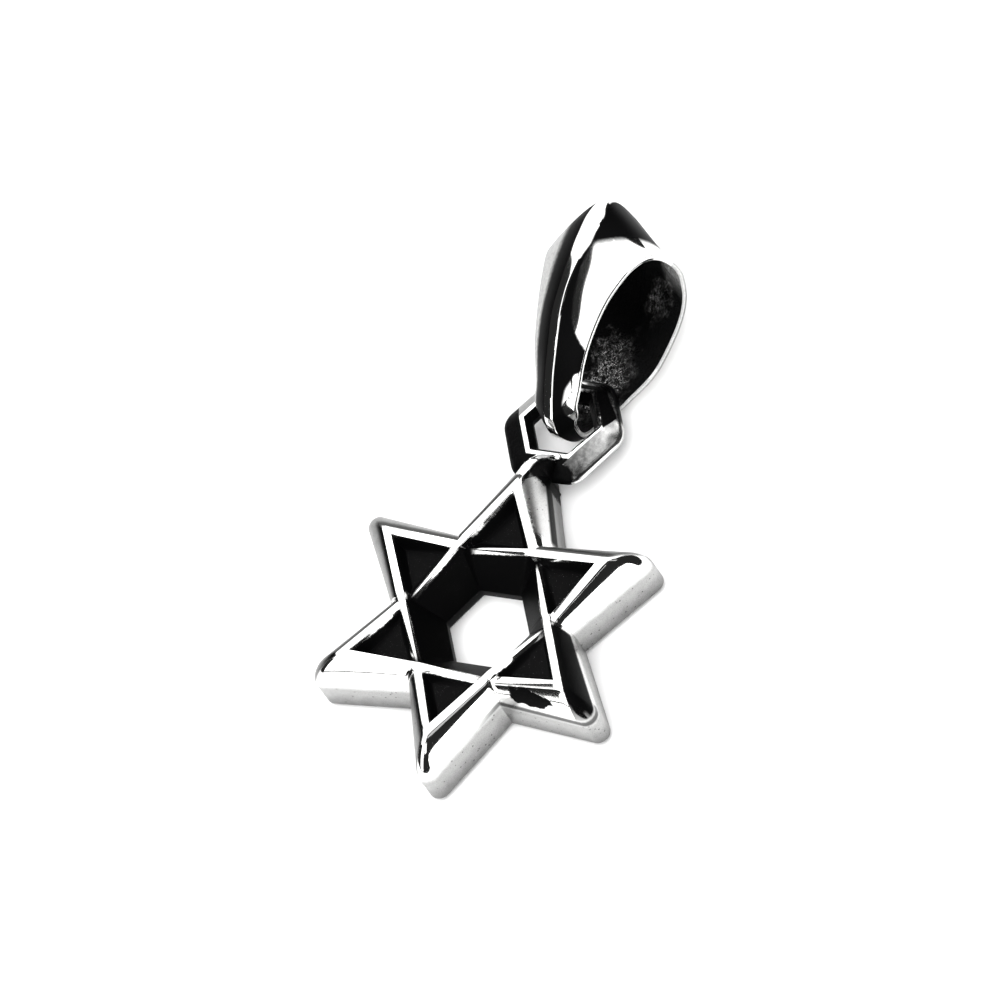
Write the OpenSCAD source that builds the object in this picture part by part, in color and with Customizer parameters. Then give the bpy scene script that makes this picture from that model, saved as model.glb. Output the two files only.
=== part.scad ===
// Star pendant lying on its flat back: two interlaced triangles cast in silver as one star,
// a hexagonal ring soldered to its top point, and a keeled, leaf-shaped bail through the ring.
// Millimetres, +Z up off the surface it lies on, +Y from the star towards the bail.

/* [Star] */
// Centre of the star to each corner of the two triangles, measured along the ridges
ridge_r = 8.3; // [7:0.1:12]
// Thickness of the star from its flat back to the ridges at the points
star_h = 4.45; // [3.6:0.05:6]
// Width of the polished flat along each ridge
ridge_w = 0.44; // [0.3:0.02:0.7]
// How far the base stands out beyond the middle of the ridge, between two points
flare = 1.12; // [0.9:0.02:1.8]
// The same at the ends of the points, which spread a little towards the base
point_flare = 1.6; // [1.2:0.02:2]
// Height of the upright wall round the base, at the points
wall_h = 2.2; // [1.2:0.1:2.4]
// Height of the same wall between two points
valley_h = 1.75; // [1.2:0.05:2.2]
// Size of the cut along the base's lower edge
base_cut = 0.4; // [0.1:0.05:0.5]
// Radius of the points at the base
tip_r = 0.7; // [0.4:0.05:1.1]
// Radius of the points at the ridge
ridge_tip_r = 0.16; // [0.08:0.02:0.22]
// Depth of the recess in each point, below the points' ridges
recess_depth = 1.15; // [0.9:0.05:1.8]
// How far a recess draws in from its edges to its floor
recess_draft = 0.25; // [0.1:0.05:0.5]

/* [Weave] */
// How far a ridge has sunk where it passes over
over_drop = 0.3; // [0.1:0.05:0.5]
// How far a ridge has sunk where it comes out from under
under_drop = 0.65; // [0.4:0.05:0.9]
// How far a ridge has sunk where it dives under
dive_drop = 0.95; // [0.6:0.05:1.1]
// Width left of a ridge where it dives under
dive_w = 0.12; // [0.06:0.02:0.25]

/* [Centre hole] */
// Centre to the corners of the hole at its narrowest
hole_r = 2.78; // [2:0.05:3.2]
// Height of the upper edge of that narrowest band
hole_top = 1.6; // [1.2:0.05:2.2]
// Height of the lower edge of that band, where the back opens out
hole_low = 1; // [0.5:0.05:1.15]
// Centre to the corners of the opening in the back
back_r = 3.5; // [3:0.05:4]

/* [Ring] */
// Centre of the star to the centre of the ring
ring_y = 13.86; // [13:0.02:15]
// Ring's centre to the corners of its ridge
ring_ridge_r = 2.66; // [2.4:0.02:3]
// Ring's centre to the corners of its hole
ring_hole_r = 2.08; // [1.9:0.02:2.2]
// Ring's centre to the corners of its outside
ring_out_r = 4.14; // [3.6:0.02:4.2]
// The ring's centre, measured sideways from the star's middle
ring_side = 0.2; // [0:0.05:0.3]
// Height of the ring's ridge at its centre, above the surface that the star lies on
ring_top = 2.2; // [2:0.05:2.5]
// How far the ring slopes down away from the star, as it was soldered
ring_tilt = 4; // [0:1:12]
// How far the ring's outside is off its ridge's centre: sideways, and towards the star
ring_off = [0.1, 0.25]; // [0:0.05:0.3]
// Radius of the ring's outer corners
ring_round = 1.3; // [0.8:0.1:1.6]
// Thickness of the ring
ring_h = 0.86; // [0.8:0.02:1.2]
// Width of the ring's polished ridge
ring_ridge_w = 0.26; // [0.16:0.02:0.4]
// Half the width of the neck that joins the top point to the ring
neck_half_w = 0.75; // [0.4:0.05:0.9]

/* [Bail] */
// Length of the bail
bail_len = 14; // [12:0.1:16]
// Depth of the bail from its back to its keel
bail_depth = 7.7; // [6.5:0.1:9]
// Greatest width of the bail
bail_w = 8.1; // [7:0.1:9]
// Thickness of the bail at its open edges
bail_wall = 0.3; // [0.26:0.02:0.4]
// How far the middle of the inside follows the keel on the bail's front, as a share
bail_scoop = 0.65; // [0.3:0.05:0.8]

/* [Bail's place] */
// How far the bail leans over on its back
bail_roll = 12; // [8:1:15]
// How far the bail is turned aside in the ring
bail_yaw = 7; // [3:1:10]
// Bail's lowest end, measured from the ring's centre towards the star
bail_back = 1.2; // [1:0.02:1.3]
// Bail's lower end, measured sideways from the ring's centre
bail_side = 0.86; // [0.7:0.02:1]
// Height of the bail's lowest point above the surface
bail_rest = 0; // [0:0.01:0.1]

/* [Hidden] */

// Distance from the star's centre to the middle of a ridge, and half the flat's width
ridge_in = ridge_r / 2;
half_w = ridge_w / 2;
// Sideways step that keeps an upper and a lower corner of the weave apart
split = 0.06;
// Straight pieces in the round of a point
arc_n = 6;

// Outside of the star from the wall's top to the ridge: share of the flare, share of the rise.
// It is less full at the points, by this power of the share
point_lean = 1.3;
slope_rows = [[1, 0], [0.94, 0.3], [0.8, 0.56], [0.58, 0.78], [0.3, 0.93], [0, 1]];

// Neck from the top point to the ring: share of the way to the ring's ridge, share of the
// drop from the star's top to the ring's top
neck_rows = [[0, 0.03], [0.27, 0.06], [0.48, 0.18], [0.68, 0.42], [0.88, 0.78], [1.06, 1.12]];

// Sections of the bail, in order up its front, over its top and down its back.
// Shares of its length, depth and half its width:
// keel along, keel out, edge along, edge out, edge's half width, keel's half flat,
// how far the flank between keel and edge is hollowed
bail_rows = [
    [0.000, 0.265, 0.050, 0.290, 0.27, 0.04, 0.10],
    [0.018, 0.405, 0.078, 0.395, 0.37, 0.04, 0.20],
    [0.060, 0.498, 0.108, 0.470, 0.39, 0.04, 0.30],
    [0.169, 0.652, 0.175, 0.535, 0.41, 0.04, 0.45],
    [0.289, 0.782, 0.289, 0.676, 0.48, 0.04, 0.60],
    [0.410, 0.902, 0.410, 0.768, 0.56, 0.04, 0.70],
    [0.530, 0.968, 0.524, 0.824, 0.65, 0.03, 0.70],
    [0.651, 0.998, 0.633, 0.843, 0.76, 0.05, 0.70],
    [0.771, 1.000, 0.711, 0.832, 0.85, 0.09, 0.50],
    [0.873, 0.996, 0.777, 0.768, 0.91, 0.11, 0.30],
    [0.946, 0.978, 0.816, 0.665, 0.96, 0.10, 0.20],
    [0.988, 0.882, 0.834, 0.535, 0.98, 0.07, 0.10],
    [1.000, 0.730, 0.834, 0.416, 1.00, 0.06, 0.10],
    [0.982, 0.490, 0.813, 0.318, 1.00, 0.06, 0.05],
    [0.922, 0.275, 0.762, 0.210, 1.00, 0.06, 0.00],
    [0.801, 0.090, 0.675, 0.140, 1.00, 0.06, 0.00],
    [0.651, 0.005, 0.548, 0.098, 0.97, 0.06, 0.00],
    [0.470, -0.015, 0.410, 0.062, 0.87, 0.06, 0.00],
    [0.289, -0.022, 0.280, 0.035, 0.60, 0.06, 0.00],
    [0.175, -0.025, 0.190, -0.010, 0.29, 0.06, 0.00],
    [0.050, 0.070, 0.068, 0.080, 0.19, 0.04, 0.00]
];
// Sections worked out between two rows, and points across half of the bail's outside
bail_steps = 2;
flank_n = 4;

function dir(a) = [cos(a), sin(a)];
function at(p, z) = [p.x, p.y, z];
// Corner of two straight edges, each given by the way it faces and its distance from the centre
function meet(a, da, b, db) =
    let (s = sin(b - a)) [(da * sin(b) - db * sin(a)) / s, (db * cos(a) - da * cos(b)) / s];

// Heights of the ridges at the points, where they pass over, come out from under and dive
top_z = star_h;
over_z = star_h - over_drop;
under_z = star_h - under_drop;
dive_z = star_h - dive_drop;
floor_z = star_h - recess_depth;

// One level of the outside, at share of the flare less a cut. Its heights are at the points,
// at the ridge that passes over and at the one that comes out from under
function tip_arc(t, out, round, z) = [for (i = [0:arc_n])
    at((2 * (ridge_in + out) - 2 * round) * dir(t) + round * dir(t - 60 + 120 * i / arc_n), z)];
function part_way(from, to, share) = from + (to - from) * share;
function level(share, cut, point_z, over, under) = [for (k = [0:5]) let (
        t = 90 + 60 * k,
        valley_out = ridge_in + part_way(half_w, flare, share) - cut,
        valley = meet(t + 60, valley_out, t, valley_out))
    each concat(
        tip_arc(t, part_way(half_w, point_flare, pow(share, point_lean)) - cut,
                part_way(ridge_tip_r, tip_r, pow(share, point_lean)) - cut / 2, point_z),
        [at(valley, over), at(valley + split * dir(t + 90), under)])];
outer_levels = concat(
    [level(1, base_cut, 0, 0, 0), level(1, 0, base_cut, base_cut, base_cut)],
    [for (row = slope_rows) level(row[0], 0,
        part_way(wall_h, top_z, row[1]),
        part_way(valley_h, over_z, row[1]),
        part_way(valley_h, under_z, row[1]))]);
ring_n = 6 * (arc_n + 3);

// Corners of one recess: low and high corner at the ridge that passes over, the point's own
// corner, and the two corners at the ridge that dives under
function recess_top(t) = [
    at(meet(t - 60, ridge_in - half_w, t, ridge_in + half_w), over_z),
    at(meet(t - 60, ridge_in - half_w, t, ridge_in + half_w + split), under_z),
    at(meet(t - 60, ridge_in - half_w, t + 60, ridge_in - half_w), top_z),
    at(meet(t + 60, ridge_in - half_w, t, ridge_in + half_w), over_z),
    at(meet(t + 60, ridge_in - half_w - split, t, ridge_in + dive_w / 2), dive_z)];
function recess_floor(t) = let (
        side = ridge_in - half_w - recess_draft,
        base = ridge_in + half_w + recess_draft) [
    at(meet(t - 60, side, t, base), floor_z),
    at(meet(t - 60, side, t, base + split), floor_z),
    at(meet(t - 60, side, t + 60, side), floor_z),
    at(meet(t + 60, side, t, base + split), floor_z),
    at(meet(t + 60, side, t, base), floor_z)];

// Corners round the centre hole: where a ridge dives under, and where the next passes over
function hole_edge() = [for (k = [0:5]) let (t = 90 + 60 * k) each [
    at(meet(t + 60, ridge_in - half_w - split, t, ridge_in - dive_w / 2), dive_z),
    at(meet(t + 60, ridge_in - half_w, t, ridge_in - half_w), over_z)]];
function hole_band(radius, z) = [for (k = [0:5]) let (t = 90 + 60 * k) each [
    at(radius * dir(t + 30) - split * dir(t + 90), z),
    at(radius * dir(t + 30) + split * dir(t + 150), z)]];

// Whole star in one list of points: outside, recess edges, recess floors, hole
star_points = concat(
    [for (ring = outer_levels) each ring],
    [for (k = [0:5]) each recess_top(90 + 60 * k)],
    [for (k = [0:5]) each recess_floor(90 + 60 * k)],
    hole_edge(), hole_band(hole_r, hole_top), hole_band(hole_r, hole_low), hole_band(back_r, 0));
level_n = len(outer_levels);
recess_at = level_n * ring_n;
floor_at = recess_at + 30;
hole_at = floor_at + 30;

function tri(a, b, c) = [[a, b, c]];
function quad(a, b, c, d) = [[a, b, c], [a, c, d]];
// Wall between two closed lines of n points that start at a and b
function wall(a, b, n) = [for (i = [0:n - 1]) let (j = (i + 1) % n)
    each quad(a + i, b + i, b + j, a + j)];
// Number of point i of section k in the outside's level l
function edge(l, k, i) = l * ring_n + ((k + 6) % 6) * (arc_n + 3) + i;
function rec(k, i) = recess_at + ((k + 6) % 6) * 5 + i;
function hol(k, i) = hole_at + ((k + 6) % 6) * 2 + i;
function bak(k, i) = hole_at + 36 + ((k + 6) % 6) * 2 + i;
over_i = arc_n + 1;
under_i = arc_n + 2;
mid_i = arc_n / 2;
top_l = level_n - 1;

function point_faces(k) = concat(
    // Flats of the point's two ridges
    tri(edge(top_l, k - 1, under_i), rec(k, 2), edge(top_l, k, 0)),
    tri(edge(top_l, k - 1, under_i), rec(k, 1), rec(k, 2)),
    [for (i = [0:arc_n - 1]) [rec(k, 2), edge(top_l, k, i + 1), edge(top_l, k, i)]],
    quad(edge(top_l, k, arc_n), rec(k, 2), rec(k, 3), edge(top_l, k, over_i)),
    // Crossing at the point's left, with the walls on both sides of the ridge that is on top
    quad(edge(top_l, k, over_i), rec(k, 3), hol(k, 1), rec(k + 1, 0)),
    quad(edge(top_l, k, over_i), rec(k + 1, 0), rec(k + 1, 1), edge(top_l, k, under_i)),
    quad(rec(k, 3), rec(k, 4), hol(k, 0), hol(k, 1)),
    // Ridge across the point, from where it passes over to where it dives
    quad(rec(k, 0), hol(k - 1, 1), hol(k, 0), rec(k, 4)),
    // Recess walls and floor
    wall(rec(k, 0), floor_at + 5 * k, 5),
    [for (i = [1:3]) [floor_at + 5 * k, floor_at + 5 * k + i + 1, floor_at + 5 * k + i]],
    // Flat back
    [for (i = [0:mid_i - 1]) [bak(k - 1, 1), edge(0, k, i), edge(0, k, i + 1)]],
    [for (i = [mid_i:arc_n]) [bak(k, 0), edge(0, k, i), edge(0, k, i + 1)]],
    tri(bak(k - 1, 1), edge(0, k - 1, under_i), edge(0, k, 0)),
    tri(bak(k - 1, 1), edge(0, k, mid_i), bak(k, 0)),
    quad(bak(k, 0), edge(0, k, over_i), edge(0, k, under_i), bak(k, 1)));

star_faces = concat(
    [for (l = [0:level_n - 2]) each wall(l * ring_n, (l + 1) * ring_n, ring_n)],
    [for (k = [0:5]) each point_faces(k)],
    wall(hole_at, hole_at + 12, 12),
    wall(hole_at + 12, hole_at + 24, 12),
    wall(hole_at + 24, hole_at + 36, 12));

// Solid through sections of equal count, closed by end caps or round into a loop
module loft(sections, loop = false) {
    n = len(sections[0]);
    s = len(sections);
    polyhedron(
        [for (section = sections) each section],
        concat(
            [for (i = [0:s - (loop ? 1 : 2)]) each wall(i * n, ((i + 1) % s) * n, n)],
            loop ? [] : [[for (i = [0:n - 1]) i], [for (i = [n - 1:-1:0]) (s - 1) * n + i]]));
}

// Tapering neck, whose top line carries the point's ridge down to the ring
function neck_sections() = let (
        from_y = ridge_r,
        to_y = ring_y - ring_ridge_r * cos(30) * cos(ring_tilt),
        to_z = ring_top + ring_ridge_r * cos(30) * sin(ring_tilt))
    [for (row = neck_rows) let (
            x = ring_side * row[0],
            y = part_way(from_y, to_y, row[0]),
            z = part_way(top_z, to_z, row[1]),
            foot = y > to_y - (ring_out_r - ring_ridge_r) ? to_z - ring_h * 0.6 : 0.25,
            shoulder = part_way(foot, z, 0.5)) [
        [x + half_w * 0.8, y, z], [x + neck_half_w, y, shoulder], [x + neck_half_w, y, foot],
        [x - neck_half_w, y, foot], [x - neck_half_w, y, shoulder], [x - half_w * 0.8, y, z]]];

// Hexagon with rounded corners, at height z below the ring's ridge
function hexagon(r, round, z) = [for (k = [0:5], i = [-2:2]) let (t = 60 * k)
    at((r - round / cos(30)) * dir(t) + round * dir(t + 15 * i), z)];

module ring() {
    in_r = ring_ridge_r - ring_ridge_w / 2;
    out_r = ring_ridge_r + ring_ridge_w / 2;
    translate([ring_side, ring_y, ring_top])
        rotate([-ring_tilt, 0, 0])
            loft([
                for (row = [[0.15, 0.1, 1], [0, 0, 0.83], [0, 0, 0.68], [0.3, 0.3, 0.38]])
                    [for (p = hexagon(ring_out_r - row[0], ring_round - row[1], -ring_h * row[2]))
                        p + [ring_off.x, -ring_off.y, 0]],
                hexagon(out_r, 0.4, 0),
                hexagon(in_r, 0.25, 0),
                hexagon(ring_hole_r, 0.2, -ring_h * 0.55),
                hexagon(ring_hole_r, 0.2, -ring_h)], loop = true);
}

module star() {
    color("silver") union() {
        polyhedron(star_points, star_faces);
        loft(neck_sections());
        ring();
    }
}

// Smooth closed curve through the rows of a table
function between(a, b, c, d, s) =
    b + 0.5 * s * (c - a + s * (2 * a - 5 * b + 4 * c - d + s * (3 * (b - c) + d - a)));
bail_n = len(bail_rows);
bail_smooth = [for (i = [0:bail_n - 1], j = [0:bail_steps - 1])
    between(bail_rows[(i + bail_n - 1) % bail_n], bail_rows[i],
            bail_rows[(i + 1) % bail_n], bail_rows[(i + 2) % bail_n], j / bail_steps)];
bail_sections_n = len(bail_smooth);

function keel_of(row) = [row[0] * bail_len, row[1] * bail_depth];
function edge_of(row) = [row[2] * bail_len, row[3] * bail_depth];
// Way into the loop, square to its edge
function inward(i) = let (
        next = edge_of(bail_smooth[(i + 1) % bail_sections_n]),
        last = edge_of(bail_smooth[(i + bail_sections_n - 1) % bail_sections_n]),
        way = (next - last) / norm(next - last))
    [way.y, -way.x];
function flank(s, hollow) = 1 - pow(1 - s, 1 + hollow);
function bail_section(i) = let (
        row = bail_smooth[i],
        keel = keel_of(row),
        rim = edge_of(row),
        in_rim = rim + bail_wall * inward(i),
        in_mid = in_rim + part_way(0.9, bail_scoop, min(1, 3 * row[6])) * (keel - rim),
        wide = row[4] * bail_w / 2,
        flat = row[5] * bail_w / 2,
        half = [for (j = [0:flank_n]) let (s = j / flank_n, p = keel + (rim - keel) * flank(s, row[6]))
            [flat + (wide - flat) * s, p.x, p.y]],
        inner = [[wide, in_rim.x, in_rim.y],
                 [wide / 2, (in_rim.x + in_mid.x) / 2, (in_rim.y + in_mid.y) / 2]])
    concat(
        [for (p = half) p], inner,
        [[0, in_mid.x, in_mid.y]],
        [for (j = [len(inner) - 1:-1:0]) [-inner[j].x, inner[j].y, inner[j].z]],
        [for (j = [flank_n:-1:0]) [-half[j].x, half[j].y, half[j].z]]);

function roll(p, a) = [p.x * cos(a) - p.z * sin(a), p.y, p.x * sin(a) + p.z * cos(a)];
function yaw(p, a) = [p.x * cos(a) + p.y * sin(a), p.y * cos(a) - p.x * sin(a), p.z];
bail_turned = [for (i = [0:bail_sections_n - 1])
    [for (p = bail_section(i)) yaw(roll(p, bail_roll), bail_yaw)]];
bail_low = min([for (section = bail_turned) each [for (p = section) p.z]]);
bail_start = [bail_side, ring_y - bail_back, bail_rest - bail_low];
bail_sections = [for (section = bail_turned) [for (p = section) p + bail_start]];

// The origin is under the middle of the whole pendant
far_y = max([for (section = bail_sections) each [for (p = section) p.y]]);
near_y = tip_r - 2 * (ridge_in + point_flare);
middle = [0, -(far_y + near_y) / 2, 0];

module bail() {
    color("gainsboro") loft(bail_sections, loop = true);
}

translate(middle) star();
translate(middle) bail();
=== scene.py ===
import math

import bmesh
import bpy
import numpy as np
from mathutils import Matrix, Vector


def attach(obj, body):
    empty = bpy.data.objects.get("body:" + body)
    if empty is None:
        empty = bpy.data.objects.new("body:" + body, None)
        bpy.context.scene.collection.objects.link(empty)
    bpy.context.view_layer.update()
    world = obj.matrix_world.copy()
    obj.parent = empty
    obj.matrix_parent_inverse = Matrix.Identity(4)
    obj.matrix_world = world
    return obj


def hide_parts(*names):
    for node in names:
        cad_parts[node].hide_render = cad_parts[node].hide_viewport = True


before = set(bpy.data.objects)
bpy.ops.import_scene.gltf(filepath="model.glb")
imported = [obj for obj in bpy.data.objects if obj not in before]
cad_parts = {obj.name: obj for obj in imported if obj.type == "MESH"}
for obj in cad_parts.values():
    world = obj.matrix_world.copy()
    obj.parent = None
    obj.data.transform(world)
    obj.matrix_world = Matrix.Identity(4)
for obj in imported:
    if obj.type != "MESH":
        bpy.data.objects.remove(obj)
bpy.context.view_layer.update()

# The view. The pendant lies on its back and is seen from above and to the right of its foot,
# with the camera turned so that it runs from the lower left to the upper right.
# A long lens, about 0.6 m away, keeps it almost free of perspective. Sizes are in millimetres.
mm = 0.001
star_y, star_h = -7.964, 4.45
view_turn, view_height, view_lean = math.radians(49.67), math.radians(53.89), math.radians(-35.62)
camera_away, camera_aside, camera_above = 592.62, 1.69403, 6.26069


def standing(name, data):
    """A new object in the scene."""
    thing = bpy.data.objects.new(name, data)
    bpy.context.scene.collection.objects.link(thing)
    return thing


toward = Vector((math.sin(view_turn) * math.cos(view_height),
                 -math.cos(view_turn) * math.cos(view_height), math.sin(view_height)))
level = Vector((math.cos(view_turn), math.sin(view_turn), 0))
upward = toward.cross(level)
right = math.cos(view_lean) * level + math.sin(view_lean) * upward
up = -math.sin(view_lean) * level + math.cos(view_lean) * upward
camera = standing("camera", bpy.data.cameras.new("camera"))
camera.data.sensor_width = 36
camera.data.lens = 361.9
camera.data.clip_start = 0.05
eye = Vector((0, star_y, star_h)) + camera_away * toward + camera_aside * right + camera_above * up
camera.matrix_world = Matrix.Translation(eye * mm) @ Matrix((right, up, toward)).transposed().to_4x4()
bpy.context.scene.camera = camera
bpy.context.scene.view_settings.view_transform = "Standard"


# The floor. A plain white sheet, lit until it is as white as the photo's ground, so that
# only the soft shadow beside the pendant is left on it.
def join(tree, put, value):
    """Links a value to an input, or sets the input to it."""
    if isinstance(value, Value):
        value = value.socket
    if isinstance(value, bpy.types.NodeSocket):
        tree.links.new(value, put)
    else:
        put.default_value = value


def add(tree, kind, settings=(), numbered=(), **named):
    """A new node of a tree: its settings first, then its inputs by number and by name."""
    node = tree.nodes.new(kind)
    for name, value in dict(settings).items():
        setattr(node, name, value)
    for number, value in dict(numbered).items():
        join(tree, node.inputs[number], value)
    for name, value in named.items():
        join(tree, node.inputs[name.replace("_", " ")], value)
    return node


class Value:
    """A socket that takes part in Python expressions, each of which adds its Math nodes."""

    def __init__(self, tree, socket):
        self.tree = tree
        self.socket = socket

    def math(self, operation, *others):
        numbered = dict(enumerate((self,) + others))
        node = add(self.tree, "ShaderNodeMath", dict(operation=operation), numbered)
        return Value(self.tree, node.outputs[0])

    def __add__(self, other):
        return self.math("ADD", other)

    def __sub__(self, other):
        return self.math("SUBTRACT", other)

    def __mul__(self, other):
        return self.math("MULTIPLY", other)

    def __truediv__(self, other):
        return self.math("DIVIDE", other)

    def __rsub__(self, other):
        return (self * -1) + other

    __radd__ = __add__
    __rmul__ = __mul__

    def ramp(self, start, end):
        """0 up to start, 1 from end, smooth between them. start may be the greater one."""
        if start > end:
            return 1 - self.ramp(end, start)
        node = add(self.tree, "ShaderNodeMapRange", dict(interpolation_type="SMOOTHSTEP"),
                   Value=self, From_Min=start, From_Max=end)
        return Value(self.tree, node.outputs["Result"])


class Finish:
    """A material under construction: its shader, and one way to add any other node."""

    def __init__(self, name):
        self.material = bpy.data.materials.new(name)
        self.material.use_nodes = True
        self.tree = self.material.node_tree
        self.shader = self.tree.nodes["Principled BSDF"]

    def node(self, kind, out=0, settings=(), numbered=(), **named):
        return Value(self.tree, add(self.tree, kind, settings, numbered, **named).outputs[out])

    def put(self, **values):
        for name, value in values.items():
            join(self.tree, self.shader.inputs[name.replace("_", " ")], value)

    def place(self, y_shift=0):
        """The place on the piece in millimetres, as a vector, and its X, Y and Z."""
        metres = self.node("ShaderNodeTexCoord", out=3)
        spot = self.node("ShaderNodeMapping", Vector=metres, Location=(0, y_shift, 0), Scale=(1 / mm,) * 3)
        parts = add(self.tree, "ShaderNodeSeparateXYZ", Vector=spot).outputs
        return [spot] + [Value(self.tree, part) for part in parts]

    def tint(self, share, start, end):
        """A grey between two brightnesses, each a number or another tint."""
        greys = [grey if isinstance(grey, Value) else (grey, grey, grey * 0.99, 1) for grey in (start, end)]
        return self.node("ShaderNodeMix", 2, dict(data_type="RGBA"), {6: greys[0], 7: greys[1]}, Factor=share)

    def blacken(self, share, bump):
        """Covers the metal, by share, with matt black: the oxide of blackened silver, and also painted shade
        and painted dark reflection where the share holds them.
        """
        metal = Value(self.tree, self.shader.outputs[0])
        matt_black = self.node("ShaderNodeBsdfPrincipled", Base_Color=(0.0012, 0.0012, 0.0013, 1),
                         Roughness=0.45, Specular_IOR_Level=0.04, Normal=bump)
        covered = self.node("ShaderNodeMixShader", numbered={0: share, 1: metal, 2: matt_black})
        join(self.tree, self.tree.nodes["Material Output"].inputs["Surface"], covered)


paper = Finish("floor_white")
paper.put(Base_Color=(0.9, 0.9, 0.9, 1), Roughness=0.8, Specular_IOR_Level=0.1)
sheet = bpy.data.meshes.new("floor")
sheet.from_pydata([(-2, -2, 0), (2, -2, 0), (2, 2, 0), (-2, 2, 0)], [], [(0, 1, 2, 3)])
sheet.materials.append(paper.material)
standing("floor", sheet)


# The light. The flat ridges and the bail's scooped flank mirror two wide softboxes, beyond and
# above. Two strips and two small cards light the other slopes, and all else is left dark, which
# gives polished silver its black bands. The front fill only whitens the sheet.
world = bpy.data.worlds.new("studio")
world.use_nodes = True
world.node_tree.nodes["Background"].inputs["Color"].default_value = (1, 1, 1, 1)
world.node_tree.nodes["Background"].inputs["Strength"].default_value = 0.02
bpy.context.scene.world = world


def softbox(name, azimuth, elevation, width, depth, power, distance=0.9):
    """A rectangular lamp that faces the pendant from an azimuth counted from +X towards +Y."""
    a, e = math.radians(azimuth), math.radians(elevation)
    outward = Vector((math.cos(a) * math.cos(e), math.sin(a) * math.cos(e), math.sin(e)))
    lamp = bpy.data.lights.new(name, "AREA")
    lamp.shape = "RECTANGLE"
    lamp.size = width
    lamp.size_y = depth
    lamp.energy = power
    holder = standing(name, lamp)
    holder.matrix_world = (Matrix.Translation(outward * distance)
                           @ outward.to_track_quat("Z", "Y").to_matrix().to_4x4())
    holder.visible_camera = False
    return holder


softbox("softbox_beyond", 114, 33, 1.2, 1.25, 7.4)
softbox("softbox_above", 165, 72, 1.12, 0.73, 4.2)
softbox("strip_left", 244, 31, 0.34, 0.94, 2.4)
softbox("strip_front", 334, 8, 0.46, 0.36, 1.35)
softbox("card_near", 287, 55, 0.4, 0.36, 0.65)
softbox("card_right", 10, 66, 0.32, 0.32, 0.18)
front_fill = softbox("front_fill", 312, 64, 1.2, 1.2, 17, distance=1.0)
front_fill.visible_glossy = False


# The star. Two interlaced triangles cast in sterling silver as one open piece, then ground and
# polished along the ridges. The recesses and the inside of the hole are blackened with
# liver of sulphur, and the upright wall round the base keeps a satin, slightly pitted skin.
ridge_r, ridge_w, ridge_tip_r = 8.3, 0.44, 0.16
# The outer slopes: how far they stand out at the base, and the curves that they follow
flare, point_flare, flare_curve, rise_curve = 1.12, 1.6, 1.3, 1.12
wall_h, valley_h, base_cut, tip_r = 2.2, 1.75, 0.4, 0.7
# The recesses: their depth, the slope of their sides, their middle, and the rounding of the floor
recess_depth, recess_draft, recess_y = 1.15, 0.25, 5.6
foot_in, foot_low, floor_in = 0.86, 0.8, 0.14
# The weave: how far each ridge sinks as it passes over, passes under and dives into the hole
over_drop, under_drop, dive_drop, dive_w = 0.3, 0.65, 0.95, 0.12
hole_r, hole_top, hole_low, back_r = 2.78, 1.6, 1.0, 3.5
# The step between a ridge and the one below it, the gap that is welded, and the lines' counts
split, seam, arc_n, side_n, slope_n = 0.06, 0.004, 12, 14, 16
ridge_mid, half_w = ridge_r / 2, ridge_w / 2
edge_in, edge_out = ridge_mid - half_w, ridge_mid + half_w
over_z, under_z, dive_z = star_h - over_drop, star_h - under_drop, star_h - dive_drop
floor_z = star_h - recess_depth


def way(angle):
    """The direction of an angle in degrees."""
    return np.array([math.cos(math.radians(angle)), math.sin(math.radians(angle))])


def at(point, z):
    """A point of the plan at a height."""
    return np.array([point[0], point[1], z])


def meet(a, da, b, db):
    """Corner of two straight edges, each given by the way it faces and its distance."""
    s = math.sin(math.radians(b - a))
    (ca, sa), (cb, sb) = way(a), way(b)
    return np.array([(da * sb - db * sa) / s, (db * ca - da * cb) / s])


def part_way(start, end, share):
    """A share of the way from start to end."""
    return start + (end - start) * share


def line(start, end, n):
    """n points from start towards end, without end itself."""
    return [part_way(start, end, i / n) for i in range(n)]


def whole_line(start, end):
    """A side's points from start to end, both included."""
    return line(start, end, side_n) + [end]


def sixth_on(points, sixths=1):
    """The same points on another point of the star."""
    c, s = math.cos(math.radians(60 * sixths)), math.sin(math.radians(60 * sixths))
    return [np.array([c * p[0] - s * p[1], s * p[0] + c * p[1], p[2]]) for p in points]


def outside(share, cut, point_z, over, under):
    """One level line of the outside: round the top point, down to the valley, up to the next."""
    widened = part_way(half_w, point_flare, share ** flare_curve) - cut
    rounding = part_way(ridge_tip_r, tip_r, share ** flare_curve) - cut / 2
    tip = 2 * (ridge_mid + widened - rounding) * way(90)
    arc = [at(tip + rounding * way(30 + 120 * i / arc_n), point_z) for i in range(arc_n + 1)]
    valley_out = part_way(half_w, flare, share) - cut
    valley = meet(150, valley_out + ridge_mid, 90, valley_out + ridge_mid)
    return (arc[:-1] + whole_line(arc[-1], at(valley, over))
            + whole_line(at(valley + split * way(180), under), sixth_on(arc)[0]))


levels = [outside(1, base_cut, 0, 0, 0), outside(1, 0, base_cut, base_cut, base_cut)]
for i in range(slope_n + 1):
    turned = math.radians(90 * i / slope_n)
    share, rise = math.cos(turned) if i < slope_n else 0, math.sin(turned) ** rise_curve
    levels.append(outside(share, 0, part_way(wall_h, star_h, rise),
                          part_way(valley_h, over_z, rise), part_way(valley_h, under_z, rise)))

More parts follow.
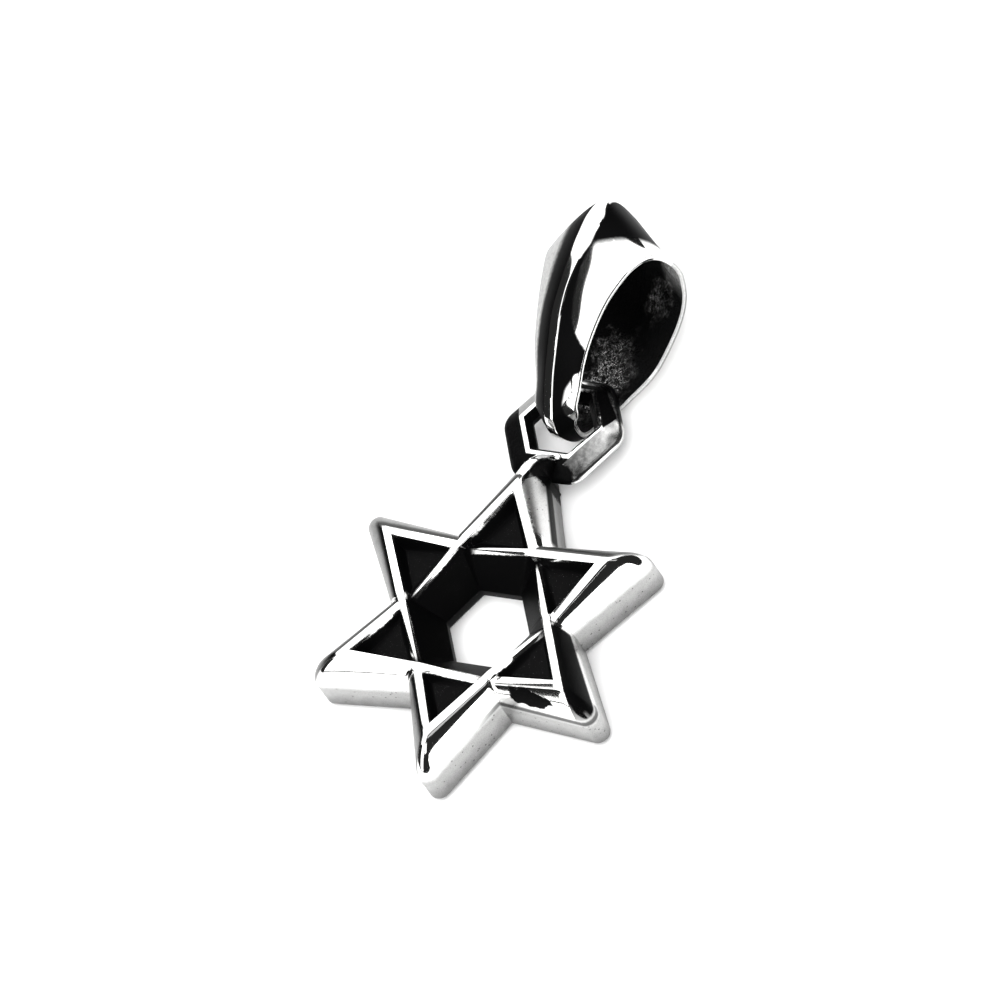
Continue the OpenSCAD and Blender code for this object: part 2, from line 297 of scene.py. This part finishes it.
corners = [at(meet(30, edge_in, 90, edge_out), over_z),
           at(meet(30, edge_in, 90, edge_out + split), under_z),
           at(meet(30, edge_in, 150, edge_in), star_h),
           at(meet(150, edge_in, 90, edge_out), over_z),
           at(meet(150, edge_in - split, 90, ridge_mid + dive_w / 2), dive_z)]
drawn_in, drawn_out = edge_in - recess_draft, edge_out + recess_draft
floor_corners = [at(meet(*edges), floor_z) for edges in (
    (30, drawn_in, 90, drawn_out), (30, drawn_in, 90, drawn_out + split),
    (30, drawn_in, 150, drawn_in), (150, drawn_in, 90, drawn_out + split),
    (150, drawn_in, 90, drawn_out))]
foot_corners = [part_way(c, f, foot_in) * (1, 1, 0) + (0, 0, part_way(c[2], f[2], foot_low))
                for c, f in zip(corners, floor_corners)]
floor_corners = [part_way(f, np.array([0, recess_y, floor_z]), floor_in) for f in floor_corners]


def round_recess(c):
    """Closed line through a recess's five corners, with the long sides divided."""
    return [c[0]] + line(c[1], c[2], side_n) + line(c[2], c[3], side_n) + [c[3]] + \
        line(c[4], c[0], side_n)


def round_hole(radius, z):
    """A sixth of a level line round the hole, from seam to seam."""
    end, after = (at(radius * way(120) + split * way(angle), z) for angle in (0, 240))
    return whole_line(sixth_on([after], -1)[0], end)


dive_end = at(meet(150, edge_in - split, 90, ridge_mid - dive_w / 2), dive_z)
over_end = at(meet(150, edge_in, 90, edge_in), over_z)
hole_lines = [whole_line(sixth_on([over_end], -1)[0], dive_end), round_hole(hole_r, hole_top),
              round_hole(hole_r, hole_low), round_hole(back_r, 0)]

sixth = bmesh.new()


def skin(a, b, closed=False):
    """Faces between two lines of equal count."""
    for i in range(len(a) if closed else len(a) - 1):
        j = (i + 1) % len(a)
        sixth.faces.new([a[i], a[j], b[j], b[i]])


def dots(points):
    """The mesh's own corners at these points."""
    return [sixth.verts.new(Vector(p)) for p in points]


rows = [dots(level_line) for level_line in levels]
for a, b in zip(rows, rows[1:]):
    skin(a, b)
arc_top, side_top = rows[-1][:arc_n + 1], rows[-1][arc_n:arc_n + side_n + 1]
low_top = rows[-1][arc_n + side_n + 1:]
mouth = dots(round_recess(corners))
inner_left, dive_line = mouth[side_n + 1:2 * side_n + 2], mouth[2 * side_n + 2:] + [mouth[0]]
after_low = dots(sixth_on(whole_line(corners[1], corners[2])))
skin(side_top, inner_left)
for i in range(arc_n):
    sixth.faces.new([arc_top[i], arc_top[i + 1], inner_left[0]])
skin(low_top, after_low)
hole_rows = [dots(points) for points in hole_lines]
after_hole = dots(sixth_on([points[0] for points in hole_lines]))
after_over = dots(sixth_on([corners[0]]))[0]
sixth.faces.new([side_top[-1], inner_left[-1], after_hole[0], after_over])
sixth.faces.new([side_top[-1], after_over, after_low[0], low_top[0]])
sixth.faces.new([inner_left[-1], dive_line[0], hole_rows[0][-1], after_hole[0]])
skin(list(reversed(dive_line)), hole_rows[0])
foot_line, floor_line = dots(round_recess(foot_corners)), dots(round_recess(floor_corners))
skin(mouth, foot_line, closed=True)
skin(foot_line, floor_line, closed=True)
sixth.faces.new(floor_line)
for a, b in zip(hole_rows, hole_rows[1:]):
    skin(a, b)
for i in range(len(hole_rows) - 1):
    sixth.faces.new([hole_rows[i][-1], after_hole[i], after_hole[i + 1], hole_rows[i + 1][-1]])
sixth.faces.new(rows[0] + [after_hole[-1]] + list(reversed(hole_rows[-1])))

one_point = bpy.data.meshes.new("star_point")
sixth.to_mesh(one_point)
sixth.free()

repeat = bpy.data.node_groups.new("six_points", "GeometryNodeTree")
for name, kind, direction in (("Geometry", "Geometry", "INPUT"), ("Points", "Int", "INPUT"),
                              ("Seam", "Float", "INPUT"), ("Silver", "Material", "INPUT"),
                              ("Geometry", "Geometry", "OUTPUT")):
    repeat.interface.new_socket(name, in_out=direction, socket_type="NodeSocket" + kind)
took = add(repeat, "NodeGroupInput").outputs
spots = add(repeat, "GeometryNodeMeshLine", Count=took["Points"], Offset=(0, 0, 0))
turn = Value(repeat, add(repeat, "GeometryNodeInputIndex").outputs[0]) * math.radians(60)
placed = add(repeat, "GeometryNodeInstanceOnPoints", Points=spots.outputs[0], Instance=took["Geometry"],
             Rotation=add(repeat, "ShaderNodeCombineXYZ", Z=turn).outputs[0])
real = add(repeat, "GeometryNodeRealizeInstances", Geometry=placed.outputs[0])
merged = add(repeat, "GeometryNodeMergeByDistance", Geometry=real.outputs[0], Distance=took["Seam"])
dressed = add(repeat, "GeometryNodeSetMaterial", Geometry=merged.outputs[0], Material=took["Silver"])
add(repeat, "NodeGroupOutput", Geometry=dressed.outputs[0])


def either(first, *others):
    """The strongest of several masks."""
    for other in others:
        first = first.math("MAXIMUM", other)
    return first


def spread(a, b, spot, weights=(1, 1)):
    """How far two coordinates lie from a spot, with each square weighted."""
    a, b = a - spot[0], b - spot[1]
    return (a * a * weights[0] + b * b * weights[1]).math("SQRT")


silver = Finish("star_silver")
centred, x, y, z = silver.place(-star_y)
rough = silver.node("ShaderNodeTexNoise", Vector=centred, Scale=5.0, Detail=4.0, Roughness=0.6)
cloudy = silver.node("ShaderNodeTexNoise", Vector=centred, Scale=1.3, Detail=3.0)
grain = silver.node("ShaderNodeTexNoise", Vector=centred, Scale=22.0, Detail=5.0, Roughness=0.7)
fine = silver.node("ShaderNodeTexNoise", Vector=centred, Scale=60.0, Detail=2.0)
wave = silver.node("ShaderNodeTexNoise", Vector=centred, Scale=0.9, Detail=1.0)
ragged = (rough - 0.5) * 0.1
# The six sides of the weave face 30, 90, 150 degrees and so on. These are how far a spot lies
# out along the nearest side's direction, out along the next nearest one's, and along the side.
sixth_turn = math.radians(60)
far = (x * x + y * y).math("SQRT")
off = ((y.math("ARCTAN2", x) / sixth_turn).math("FRACT") - 0.5) * sixth_turn
out_side = far * off.math("COSINE")
out_next = far * (sixth_turn - off.math("ABSOLUTE")).math("COSINE")
round_side = far * off.math("SINE")
# The recesses and the hole are black. A ridge that passes under the next one ends in the black.
recess = ((out_next + ragged).ramp(edge_in - 0.03, edge_in - 0.09)
          * (out_side + ragged).ramp(edge_out + 0.02, edge_out + 0.08))
hole = (out_side + ragged).ramp(edge_in + 0.02, edge_in - 0.05)
diving = round_side.ramp(1.15, 1.95) * (out_next + ragged).ramp(edge_in, edge_in - 0.06)
black = either(recess, hole, diving) * z.ramp(0.35, 0.55) * (1 - grain.ramp(0.66, 0.74) * 0.5)
# Soldering left its soot beside the neck, and a stain on the point at the lower right
outer, down = out_next.ramp(edge_out, edge_out + 0.2), out_next - edge_out
solder_spot, stain_spot = (1.15, 10.1), (5.3, 3.6)
solder = spread(x, y, solder_spot) + (rough - 0.5) * 0.7
solder = solder.ramp(1.05, 0.85) * x.ramp(0.3, 0.45)
stain = spread(x, z, stain_spot, (0.32, 4.5)) + (cloudy - 0.5) * 1.5
stain = stain.ramp(1.0, 0.86) * y.ramp(-4.3, -4.5) * outer
# The top point's right slope is filed, not polished, with a dark line of painted shade along its foot
filed = x.ramp(0.25, 0.5) * y.ramp(5.2, 5.8) * outer
painted_crease_shade = filed * z.ramp(1.9, 2.15) * z.ramp(2.95, 2.65)
specks = (filed * down.ramp(0.4, 0.12) * (rough + grain).ramp(0.94, 1.02)
          * y.ramp(8.3, 6.6) * z.ramp(2.4, 2.8))
# The slopes that face away from the foot get a painted black band along the ridge and a painted grey skin
# below it, both painted dark reflection
away_angle = math.radians(140)
away = silver.node("ShaderNodeVectorMath", 1, dict(operation="DOT_PRODUCT"),
                   {0: silver.node("ShaderNodeNewGeometry", out=1),
                    1: (math.cos(away_angle), math.sin(away_angle), 0)}).ramp(-0.2, 0.08)
painted_dark_band = away * (down + ragged * 0.4).ramp(-0.02, 0.05) * down.ramp(0.5, 0.14) * 0.92
# The lower right point's right slope is painted black, a painted dark reflection, and its near slope has a
# dark line of painted shade
right_out = x * math.cos(math.radians(30)) + y * math.sin(math.radians(30)) - edge_out
painted_black_reflection = ((right_out + ragged).ramp(0.0, 0.06) * (z + ragged).ramp(2.75, 3.05)
          * y.ramp(-0.1, -0.35) * y.ramp(-6.4, -5.0))
painted_groove_shade = outer * x.ramp(1.8, 3.2) * y.ramp(-4.2, -4.5) * z.ramp(2.4, 2.6) * (z + ragged).ramp(2.95, 2.75)
black = either(black, solder, stain, painted_dark_band, painted_black_reflection, painted_crease_shade * 0.85)
# The wall, the filed slope and the painted grey skin are satin and pitted, and their colour is darker low
# down, which is painted shade
wall = outer * (z + (cloudy - 0.5) * 0.3).ramp(2.95, 2.2)
satin_and_painted_grey = either(wall, filed, away * down.ramp(0.05, 0.3))
pit = silver.node("ShaderNodeTexVoronoi", Vector=centred, Scale=2.6).ramp(0.2, 0.08) * satin_and_painted_grey
# Painted shade: darker towards the bottom, and the slopes that face away painted greyer
shade_and_tone = z.ramp(2.1, 0.1) + (cloudy - 0.5) * 0.6 + filed * 0.6 + away * z.ramp(2.2, 2.6) * 0.75
satin_and_shade = silver.tint(satin_and_painted_grey * (1 - filed * z.ramp(2.1, 2.4) * 0.75), 0.94, silver.tint(shade_and_tone, 0.44, 0.15))
marks = either(pit * 0.75 + grain.ramp(0.45, 0.7) * satin_and_painted_grey * 0.5, painted_crease_shade, painted_groove_shade * 0.9, specks)
bumps = (grain * (0.12 + black * 0.8 + satin_and_painted_grey * 1.6) * 0.05 + wave * outer * 0.15
         - pit * 0.15 + fine * black * 0.02)
bump = silver.node("ShaderNodeBump", Height=bumps, Distance=0.1 * mm, Strength=0.5)
silver.put(Base_Color=silver.tint(marks, satin_and_shade, 0.04), Metallic=1.0,
           Roughness=0.06 + satin_and_painted_grey * 0.3 + grain * 0.03, Normal=bump)
silver.blacken(black, bump)


def finished(piece):
    """Makes the evaluated piece a plain mesh in the row frame, with its faces turned outwards."""
    whole = bpy.data.meshes.new_from_object(piece.evaluated_get(bpy.context.evaluated_depsgraph_get()))
    whole.name = piece.name
    form = bmesh.new()
    form.from_mesh(whole)
    bmesh.ops.remove_doubles(form, verts=form.verts, dist=seam)
    bmesh.ops.recalc_face_normals(form, faces=form.faces)
    for v in form.verts:
        v.co = (v.co + Vector((0, star_y, 0))) * mm
    for face in form.faces:
        face.smooth = True
    form.to_mesh(whole)
    form.free()
    piece.modifiers.clear()
    piece.data = whole


def soften(piece, width, angle=28):
    """Rounds the edges as polishing does, and keeps the flats flat."""
    bevel = piece.modifiers.new("polished_edges", "BEVEL")
    bevel.width = width * mm
    bevel.segments = 2
    bevel.limit_method = "ANGLE"
    bevel.angle_limit = math.radians(angle)
    bevel.use_clamp_overlap = False
    bevel.harden_normals = False
    even = piece.modifiers.new("even_normals", "WEIGHTED_NORMAL")
    even.keep_sharp = True
    even.weight = 60


star = standing("star_woven", one_point)
laying = star.modifiers.new("six_points", "NODES")
laying.node_group = repeat
sockets = {s.name: s.identifier for s in repeat.interface.items_tree if s.in_out == "INPUT"}
laying[sockets["Points"]] = 6
laying[sockets["Seam"]] = seam
laying[sockets["Silver"]] = silver.material
finished(star)
soften(star, 0.035)
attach(star, "root")
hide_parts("star")


# The ring and its neck. A cast hexagonal ring with a polished ridge, soldered to the star's top
# point a little askew, so that it slopes away; the solder left a low, blackened patch and a bead.
ring_y, ring_side, ring_top, ring_tilt = 13.86, 0.2, 2.2, math.radians(4)
ring_ridge_r, ring_hole_r, ring_out_r, ring_ridge_w, ring_h = 2.66, 2.08, 4.14, 0.26, 0.86
ring_shift, ring_round, corner_n, bar_n = (0.1, -0.25), 1.3, 7, 5
neck_half_w, neck_crown_w, neck_low, neck_long = 0.75, half_w * 0.8, 0.25, 1.06
ring_foot, neck_n, flank_turns = ring_h * 0.6, 30, 9
bead_spot, bead_stretch, bead_n = (0.95, 11.42, 2.37), 1.25, 12
weld = 0.0005
tilt_c, tilt_s, cos30 = math.cos(ring_tilt), math.sin(ring_tilt), math.cos(math.radians(30))


def hexagon(r, rounding, drop, shift):
    """Hexagon with rounded corners, tilted and set in its place beyond the star."""
    points, corner_r, low = [], r - rounding / cos30, -ring_h * drop
    for k in range(6):
        for i in range(corner_n):
            a = 60 * k + 60 * (i / (corner_n - 1) - 0.5)
            points.append(at(corner_r * way(60 * k) + rounding * way(a) + shift, low))
        after = corner_r * way(60 * k + 60) + rounding * way(60 * k + 30) + shift
        points += [at(part_way(points[-1][:2], after, j / bar_n), low) for j in range(1, bar_n)]
    return [np.array([p[0] + ring_side, tilt_c * p[1] + tilt_s * p[2] + ring_y,
                      tilt_c * p[2] - tilt_s * p[1] + ring_top]) for p in points]


def lofted(name, sections, loop=False, caps=False, marks=None):
    """Skin over lines of equal count, each one closed. marks are values kept at its points."""
    form = bmesh.new()
    for mark in marks or {}:
        form.verts.layers.float.new(mark)
    rings = [[form.verts.new(Vector(p)) for p in section] for section in sections]
    for mark, values in (marks or {}).items():
        layer = form.verts.layers.float[mark]
        for some, shares in zip(rings, values):
            for v, share in zip(some, shares):
                v[layer] = share
    n = len(rings[0])
    for k in range(len(rings) if loop else len(rings) - 1):
        a, b = rings[k], rings[(k + 1) % len(rings)]
        for i in range(n):
            j = (i + 1) % n
            form.faces.new([a[i], a[j], b[j], b[i]])
    if caps:
        form.faces.new(rings[0])
        form.faces.new(rings[-1])
    bmesh.ops.remove_doubles(form, verts=form.verts, dist=weld)
    bmesh.ops.recalc_face_normals(form, faces=form.faces)
    mesh = bpy.data.meshes.new(name)
    form.to_mesh(mesh)
    form.free()
    return mesh


# Round the ring's section: radius, rounding of the corners, share of its height down, and shift
profile = [(ring_out_r - 0.15, ring_round - 0.1, 1.0, ring_shift),
           (ring_out_r - 0.04, ring_round - 0.03, 0.95, ring_shift),
           (ring_out_r, ring_round, 0.83, ring_shift),
           (ring_out_r, ring_round, 0.68, ring_shift),
           (ring_out_r - 0.06, ring_round - 0.06, 0.56, ring_shift),
           (ring_out_r - 0.3, ring_round - 0.3, 0.38, ring_shift),
           (ring_ridge_r + ring_ridge_w / 2, 0.4, 0, (0, 0)),
           (ring_ridge_r - ring_ridge_w / 2, 0.25, 0, (0, 0)),
           (ring_hole_r, 0.2, 0.55, (0, 0)),
           (ring_hole_r, 0.2, 1.0, (0, 0))]
ring = standing("ring", lofted("ring", [hexagon(*row) for row in profile], loop=True))

# Along the neck: share of the way to the ring's ridge, and share of the drop to it
neck_shares, neck_drops = [0, 0.27, 0.48, 0.68, 0.88, 1.06], [0.03, 0.06, 0.18, 0.42, 0.78, 1.12]
to_y, to_z = ring_y - ring_ridge_r * cos30 * tilt_c, ring_top + ring_ridge_r * cos30 * tilt_s
neck_lines = []
for i in range(neck_n + 1):
    share = neck_long * i / neck_n
    nx, ny = ring_side * share, part_way(ridge_r, to_y, share)
    nz = part_way(star_h, to_z, np.interp(share, neck_shares, neck_drops))
    foot = to_z - ring_foot if ny > to_y - (ring_out_r - ring_ridge_r) else neck_low
    shoulder = part_way(foot, nz, 0.5)
    flank = [(neck_half_w, foot)]
    for a in np.radians(np.linspace(0, 90, flank_turns)):
        flank.append((part_way(neck_crown_w, neck_half_w, math.cos(a)), part_way(shoulder, nz, math.sin(a))))
    neck_lines.append([np.array([nx + w, ny, h]) for w, h in flank]
                      + [np.array([nx - w, ny, h]) for w, h in reversed(flank)])
neck = standing("neck", lofted("neck", neck_lines, caps=True))

# The bead's radius and height, from its crown down into the metal
bead_rows = [(0.0, 0.12), (0.13, 0.11), (0.2, 0.04), (0.2, -0.05), (0.14, -0.12)]
bead_lines = [[np.array(bead_spot) + at(r * way(360 * i / bead_n) * (bead_stretch, 1), h)
               for i in range(bead_n)] for r, h in bead_rows]
bead = standing("solder_bead", lofted("solder_bead", bead_lines, caps=True))

ring_silver = Finish("ring_silver")
ring_mm, rx, ry, rz = ring_silver.place(-star_y)
ring_rough = ring_silver.node("ShaderNodeTexNoise", Vector=ring_mm, Scale=3.0, Detail=4.0, Roughness=0.6)
ring_grain = ring_silver.node("ShaderNodeTexNoise", Vector=ring_mm, Scale=20.0, Detail=4.0, Roughness=0.7)
matt = rz.ramp(1.75, 1.6)
on_neck = spread(rx, ry, solder_spot) + (ring_rough - 0.5) * 0.7
on_neck = on_neck.ramp(1.15, 0.9) * rx.ramp(0.3, 0.45) * ry.ramp(11.25, 11.1)


def facing(angle, start=ring_ridge_w / 2):
    """1 on the ring's outer slope that faces this way, or from start beside its ridge's middle."""
    a = math.radians(angle)
    out_by = (rx - ring_side) * math.cos(a) + (ry - ring_y) * math.sin(a) + (ring_rough - 0.5) * 0.04
    ridge_at = ring_ridge_r * cos30 + start
    return out_by.ramp(ridge_at - 0.03, ridge_at + 0.04)


# The slopes but the two on the right, which are brushed, and a spot at the far corner are painted black, a
# painted dark reflection; down in the hole and by the solder the black is soot. The slope at the upper left
# has only a painted grey reflection.
brushed = either(facing(330), facing(30) * ry.ramp(13.95, 13.5)) * (1 - matt)
beyond_hole = either(*(facing(angle, -ring_ridge_w / 2) for angle in (30, 90, 150, 210, 270, 330)))
soot_and_painted_black = either(facing(90), facing(210), facing(270), facing(30)) * (1 - brushed) * rz.ramp(1.72, 1.8)
soot_and_painted_black = either(soot_and_painted_black, 1 - beyond_hole, ry.ramp(14.3, 14.7) * rx.ramp(0.4, 0.9) * 0.9) * rz.ramp(2.46, 2.4)
soot_and_painted_black = either(on_neck, soot_and_painted_black)
painted_grey_slope = facing(150) * (1 - matt)
# Painted shade: the ring is darker low down, and the slope at the upper left is painted grey
ring_shade_and_tone = rz.ramp(1.9, 0.7) + (ring_rough - 0.5) * 0.5 + painted_grey_slope * 0.7
ring_satin_and_shade = ring_silver.tint(either(matt, painted_grey_slope), 0.94, ring_silver.tint(ring_shade_and_tone, 0.52, 0.2))
streaky = ring_silver.tint((rx + (ring_rough - 0.5) * 2.0).ramp(1.5, 4.2), 0.07, 0.6)
ring_bump = ring_silver.node("ShaderNodeBump", Distance=0.1 * mm, Strength=0.6,
                             Height=ring_grain * (0.06 + matt) * 0.05 + soot_and_painted_black * ring_rough * 0.8)
ring_silver.put(Base_Color=ring_silver.tint(brushed * rz.ramp(1.8, 1.95), ring_satin_and_shade, streaky), Metallic=1.0,
                Roughness=0.07 + matt * 0.3 + brushed * 0.15 + painted_grey_slope * 0.25 + ring_grain * 0.03,
                Normal=ring_bump)
ring_silver.blacken(soot_and_painted_black, ring_bump)

for piece in (ring, neck, bead):
    piece.data.materials.append(ring_silver.material)
    finished(piece)
    soften(piece, 0.03)
    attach(piece, "root")
    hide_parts("star")


# The bail. A leaf-shaped loop of sheet silver, folded lengthways to a keel down its front and
# bent back on itself through the ring. The flanks are hollowed and polished like mirrors, the
# open edges are bright, and the inside is left rough and blackened.
bail_len, bail_depth, bail_w, bail_scoop, bail_arch = 14, 7.7, 8.1, 0.65, 0.9
bail_roll, bail_yaw, bail_back, bail_side = math.radians(12), math.radians(7), 1.2, 0.86
flat_more, rim_bulge = 0.03, 0.02
bail_steps, flank_n, inner_n = 8, 16, 10
# The wall gets thicker behind, where its edge shows
wall_steps, wall_thick = [88, 104, 152, 164], [0.3, 0.42, 0.42, 0.3]
# Up the front from the foot, over the crest and back beneath, as shares: the keel along the
# length and the depth, the rim along them, half the width, half the keel's flat, the hollow
bail_rows = [
    [0.000, 0.265, 0.050, 0.290, 0.27, 0.04, 0.10],
    [0.018, 0.405, 0.078, 0.395, 0.37, 0.04, 0.20],
    [0.060, 0.498, 0.108, 0.470, 0.39, 0.04, 0.30],
    [0.169, 0.652, 0.175, 0.535, 0.41, 0.04, 0.45],
    [0.289, 0.782, 0.289, 0.676, 0.48, 0.04, 0.60],
    [0.410, 0.902, 0.410, 0.768, 0.56, 0.04, 0.70],
    [0.530, 0.968, 0.524, 0.824, 0.65, 0.03, 0.70],
    [0.651, 0.998, 0.633, 0.843, 0.76, 0.05, 0.70],
    [0.771, 1.000, 0.711, 0.832, 0.85, 0.09, 0.50],
    [0.873, 0.996, 0.777, 0.768, 0.91, 0.10, 0.30],
    [0.946, 0.978, 0.816, 0.665, 0.96, 0.04, 0.20],
    [0.988, 0.882, 0.834, 0.535, 0.98, -0.015, 0.10],
    [1.000, 0.730, 0.834, 0.416, 1.00, -0.01, 0.10],
    [0.982, 0.490, 0.813, 0.318, 1.00, 0.06, 0.05],
    [0.922, 0.275, 0.762, 0.210, 1.00, 0.06, 0.00],
    [0.801, 0.090, 0.675, 0.140, 1.00, 0.06, 0.00],
    [0.651, 0.005, 0.548, 0.098, 0.97, 0.06, 0.00],
    [0.470, -0.015, 0.410, 0.062, 0.87, 0.06, 0.00],
    [0.289, -0.022, 0.280, 0.035, 0.60, 0.06, 0.00],
    [0.175, -0.025, 0.190, -0.010, 0.29, 0.06, 0.00],
    [0.050, 0.070, 0.068, 0.080, 0.19, 0.04, 0.00]]


def between(a, b, c, d, s):
    """A smooth curve from b to c, a share s of the way."""
    return b + 0.5 * s * (c - a + s * (2 * a - 5 * b + 4 * c - d + s * (3 * (b - c) + d - a)))


table = np.array(bail_rows)
count = len(table)
smooth = [between(table[i - 1], table[i], table[(i + 1) % count], table[(i + 2) % count], j / bail_steps)
          for i in range(count) for j in range(bail_steps)]
keels = [np.array([row[0] * bail_len, row[1] * bail_depth]) for row in smooth]
rims = [np.array([row[2] * bail_len, row[3] * bail_depth]) for row in smooth]


def leaned(across, along, height):
    """A point of the upright leaf, rolled and turned to the way that it leans in the ring."""
    c, s = math.cos(bail_roll), math.sin(bail_roll)
    across, height = across * c - height * s, across * s + height * c
    c, s = math.cos(bail_yaw), math.sin(bail_yaw)
    return np.array([across * c + along * s, along * c - across * s, height])


# Each section runs from the keel round both sides. A point's kind is 0 on the keel, 0.1 to 1.1
# down the flank, 2 on the rim and 3 inside.
bail_lines, kinds_of = [], []
for i, row in enumerate(smooth):
    keel, rim, hollow = keels[i], rims[i], max(row[6], 0)
    full = min(1, hollow * 3)
    ahead = rims[(i + 1) % len(rims)] - rims[i - 1]
    ahead = ahead / np.linalg.norm(ahead)
    in_rim = rim + np.interp(i, wall_steps, wall_thick) * np.array([ahead[1], -ahead[0]])
    in_keel = in_rim + part_way(bail_arch, bail_scoop, full) * (keel - rim)
    wide, flat = row[4] * bail_w / 2, (row[5] + flat_more) * bail_w / 2
    sides = []
    for side in (1, -1):
        half = []
        for j in range(flank_n + 1):
            s = j / flank_n
            fall = 1 - (1 - s) ** (1 + hollow) if side > 0 else s ** (1 + 0.5 * full)
            half.append((side * (flat + (wide - flat) * s), *(keel + (rim - keel) * fall), 0.1 + s))
        for s in (0.06, 0.5, 0.94):
            half.append((side * (wide + rim_bulge * math.sin(math.pi * s)), *(rim + (in_rim - rim) * s), 2))
        for j in range(inner_n):
            s = 1 - j / inner_n
            half.append((side * wide * s, *part_way(in_keel, in_rim, s), 3))
        sides.append(half)
    closed = [(0.0, *keel, 0.0)] + sides[0] + [(0.0, *in_keel, 3)] + list(reversed(sides[1]))
    bail_lines.append([leaned(across, along, height) for across, along, height, kind in closed])
    kinds_of.append([kind for across, along, height, kind in closed])
lowest = min(p[2] for section in bail_lines for p in section)
bail_lines = [[p + (bail_side, ring_y - bail_back, -lowest) for p in section] for section in bail_lines]

# How far from the foot of the leaf the painted dark reflection beside the keel ends: distance along Y, and
# the X at which the polished scoop starts there. Then how far down the left flank the painted black reaches.
scoop_y = [5.3, 5.6, 6.0, 6.8, 7.6, 8.0, 8.8, 9.2, 9.8, 10.5, 11.5, 12.5, 13.6, 14.4]
scoop_x = [3.0, 1.2, 1.05, 1.15, 1.6, 2.4, 2.4, 1.9, 1.4, 1.1, 1.0, 1.0, 1.05, 1.15]
left_y, left_share = [6, 9, 12, 15], [0.95, 0.85, 0.68, 0.6]


def painted_dark_at(point, kind, right_side):
    """From -1, polished, to 1, black: a painted dark reflection down the left flank, and on the crest and
    beside the keel on the right.
    """
    s, px, py = kind - 0.1, point[0], point[1] + star_y
    if s <= 0 or kind > 1.2:
        return -1.0
    if not right_side:
        return float(np.clip((np.interp(py, left_y, left_share) - s) * 1.8, 0.06, 1))
    crest = (py - 0.5 * px - 14.45) / 0.7
    beside = (np.interp(py, scoop_y, scoop_x) - px) / 0.2
    return float(np.clip(max(crest, beside), -1, 1))


def painted_dark_line(points, kinds):
    """The painted dark reflection along one section, whose first half is the right side."""
    return [painted_dark_at(p, kind, j < len(kinds) / 2) for j, (p, kind) in enumerate(zip(points, kinds))]


bail_marks = dict(
    inside=[[float(kind == 3) for kind in kinds] for kinds in kinds_of],
    edge=[[float(kind == 2 and wall_steps[0] < i < wall_steps[-1]) for kind in kinds]
          for i, kinds in enumerate(kinds_of)],
    painted_reflection_dark=[painted_dark_line(points, kinds) for points, kinds in zip(bail_lines, kinds_of)])
bail = standing("bail_leaf", lofted("bail_leaf", bail_lines, loop=True, marks=bail_marks))

leaf = Finish("bail_silver")
scaled, lx, ly, lz = leaf.place()
inside, painted_reflection_dark, edge = (leaf.node("ShaderNodeAttribute", 2, dict(attribute_name=name))
                      for name in ("inside", "painted_reflection_dark", "edge"))
cast_skin = leaf.node("ShaderNodeTexNoise", Vector=scaled, Scale=5.5, Detail=5.0, Roughness=0.65)
worn_fine = leaf.node("ShaderNodeTexNoise", Vector=scaled, Scale=20.0, Detail=3.0)
blotchy = leaf.node("ShaderNodeTexNoise", Vector=scaled, Scale=1.1, Detail=3.0)
# The cast skin inside glints where the tool has rubbed it: near the mouth and at the far turn
apart = (blotchy - 0.5) * 3.2
near_mouth = (spread(lx, ly, (1.4, 9.9), (1, 0.35)) + apart).ramp(2.1, 0.6)
far_turn = (spread(lx, ly, (3.7, 14.7)) + apart).ramp(1.4, 0.2)
rubbed = either(near_mouth, far_turn * 0.7) * (cast_skin * 0.55 + worn_fine * 0.45).ramp(0.49, 0.57)
lighter = lz.ramp(2.9, 4.3) * lx.ramp(3.8, 4.6)
sooty = inside.ramp(0.5, 0.9) * (1 - rubbed * 0.95) * (1 - lighter * 0.7)
# Painted dark reflection on the flanks, from the values kept at the points
leaf_painted_dark = (painted_reflection_dark + (cast_skin - 0.5) * 0.25).ramp(-0.45, 0.45)
leaf_bump = leaf.node("ShaderNodeBump", Distance=0.12 * mm, Strength=0.8,
                      Height=cast_skin * inside * 1.5 + worn_fine * (inside * 0.7 + edge * 0.25))
leaf.put(Base_Color=leaf.tint(edge * worn_fine.ramp(0.3, 0.6), 0.94, 0.5), Metallic=1.0,
         Roughness=0.06 + inside * 0.16 + edge * 0.3 + worn_fine * 0.03, Normal=leaf_bump)
leaf.blacken(either(sooty, leaf_painted_dark), leaf_bump)

bail.data.materials.append(leaf.material)
finished(bail)
soften(bail, 0.03, angle=35)
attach(bail, "root")
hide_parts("bail")
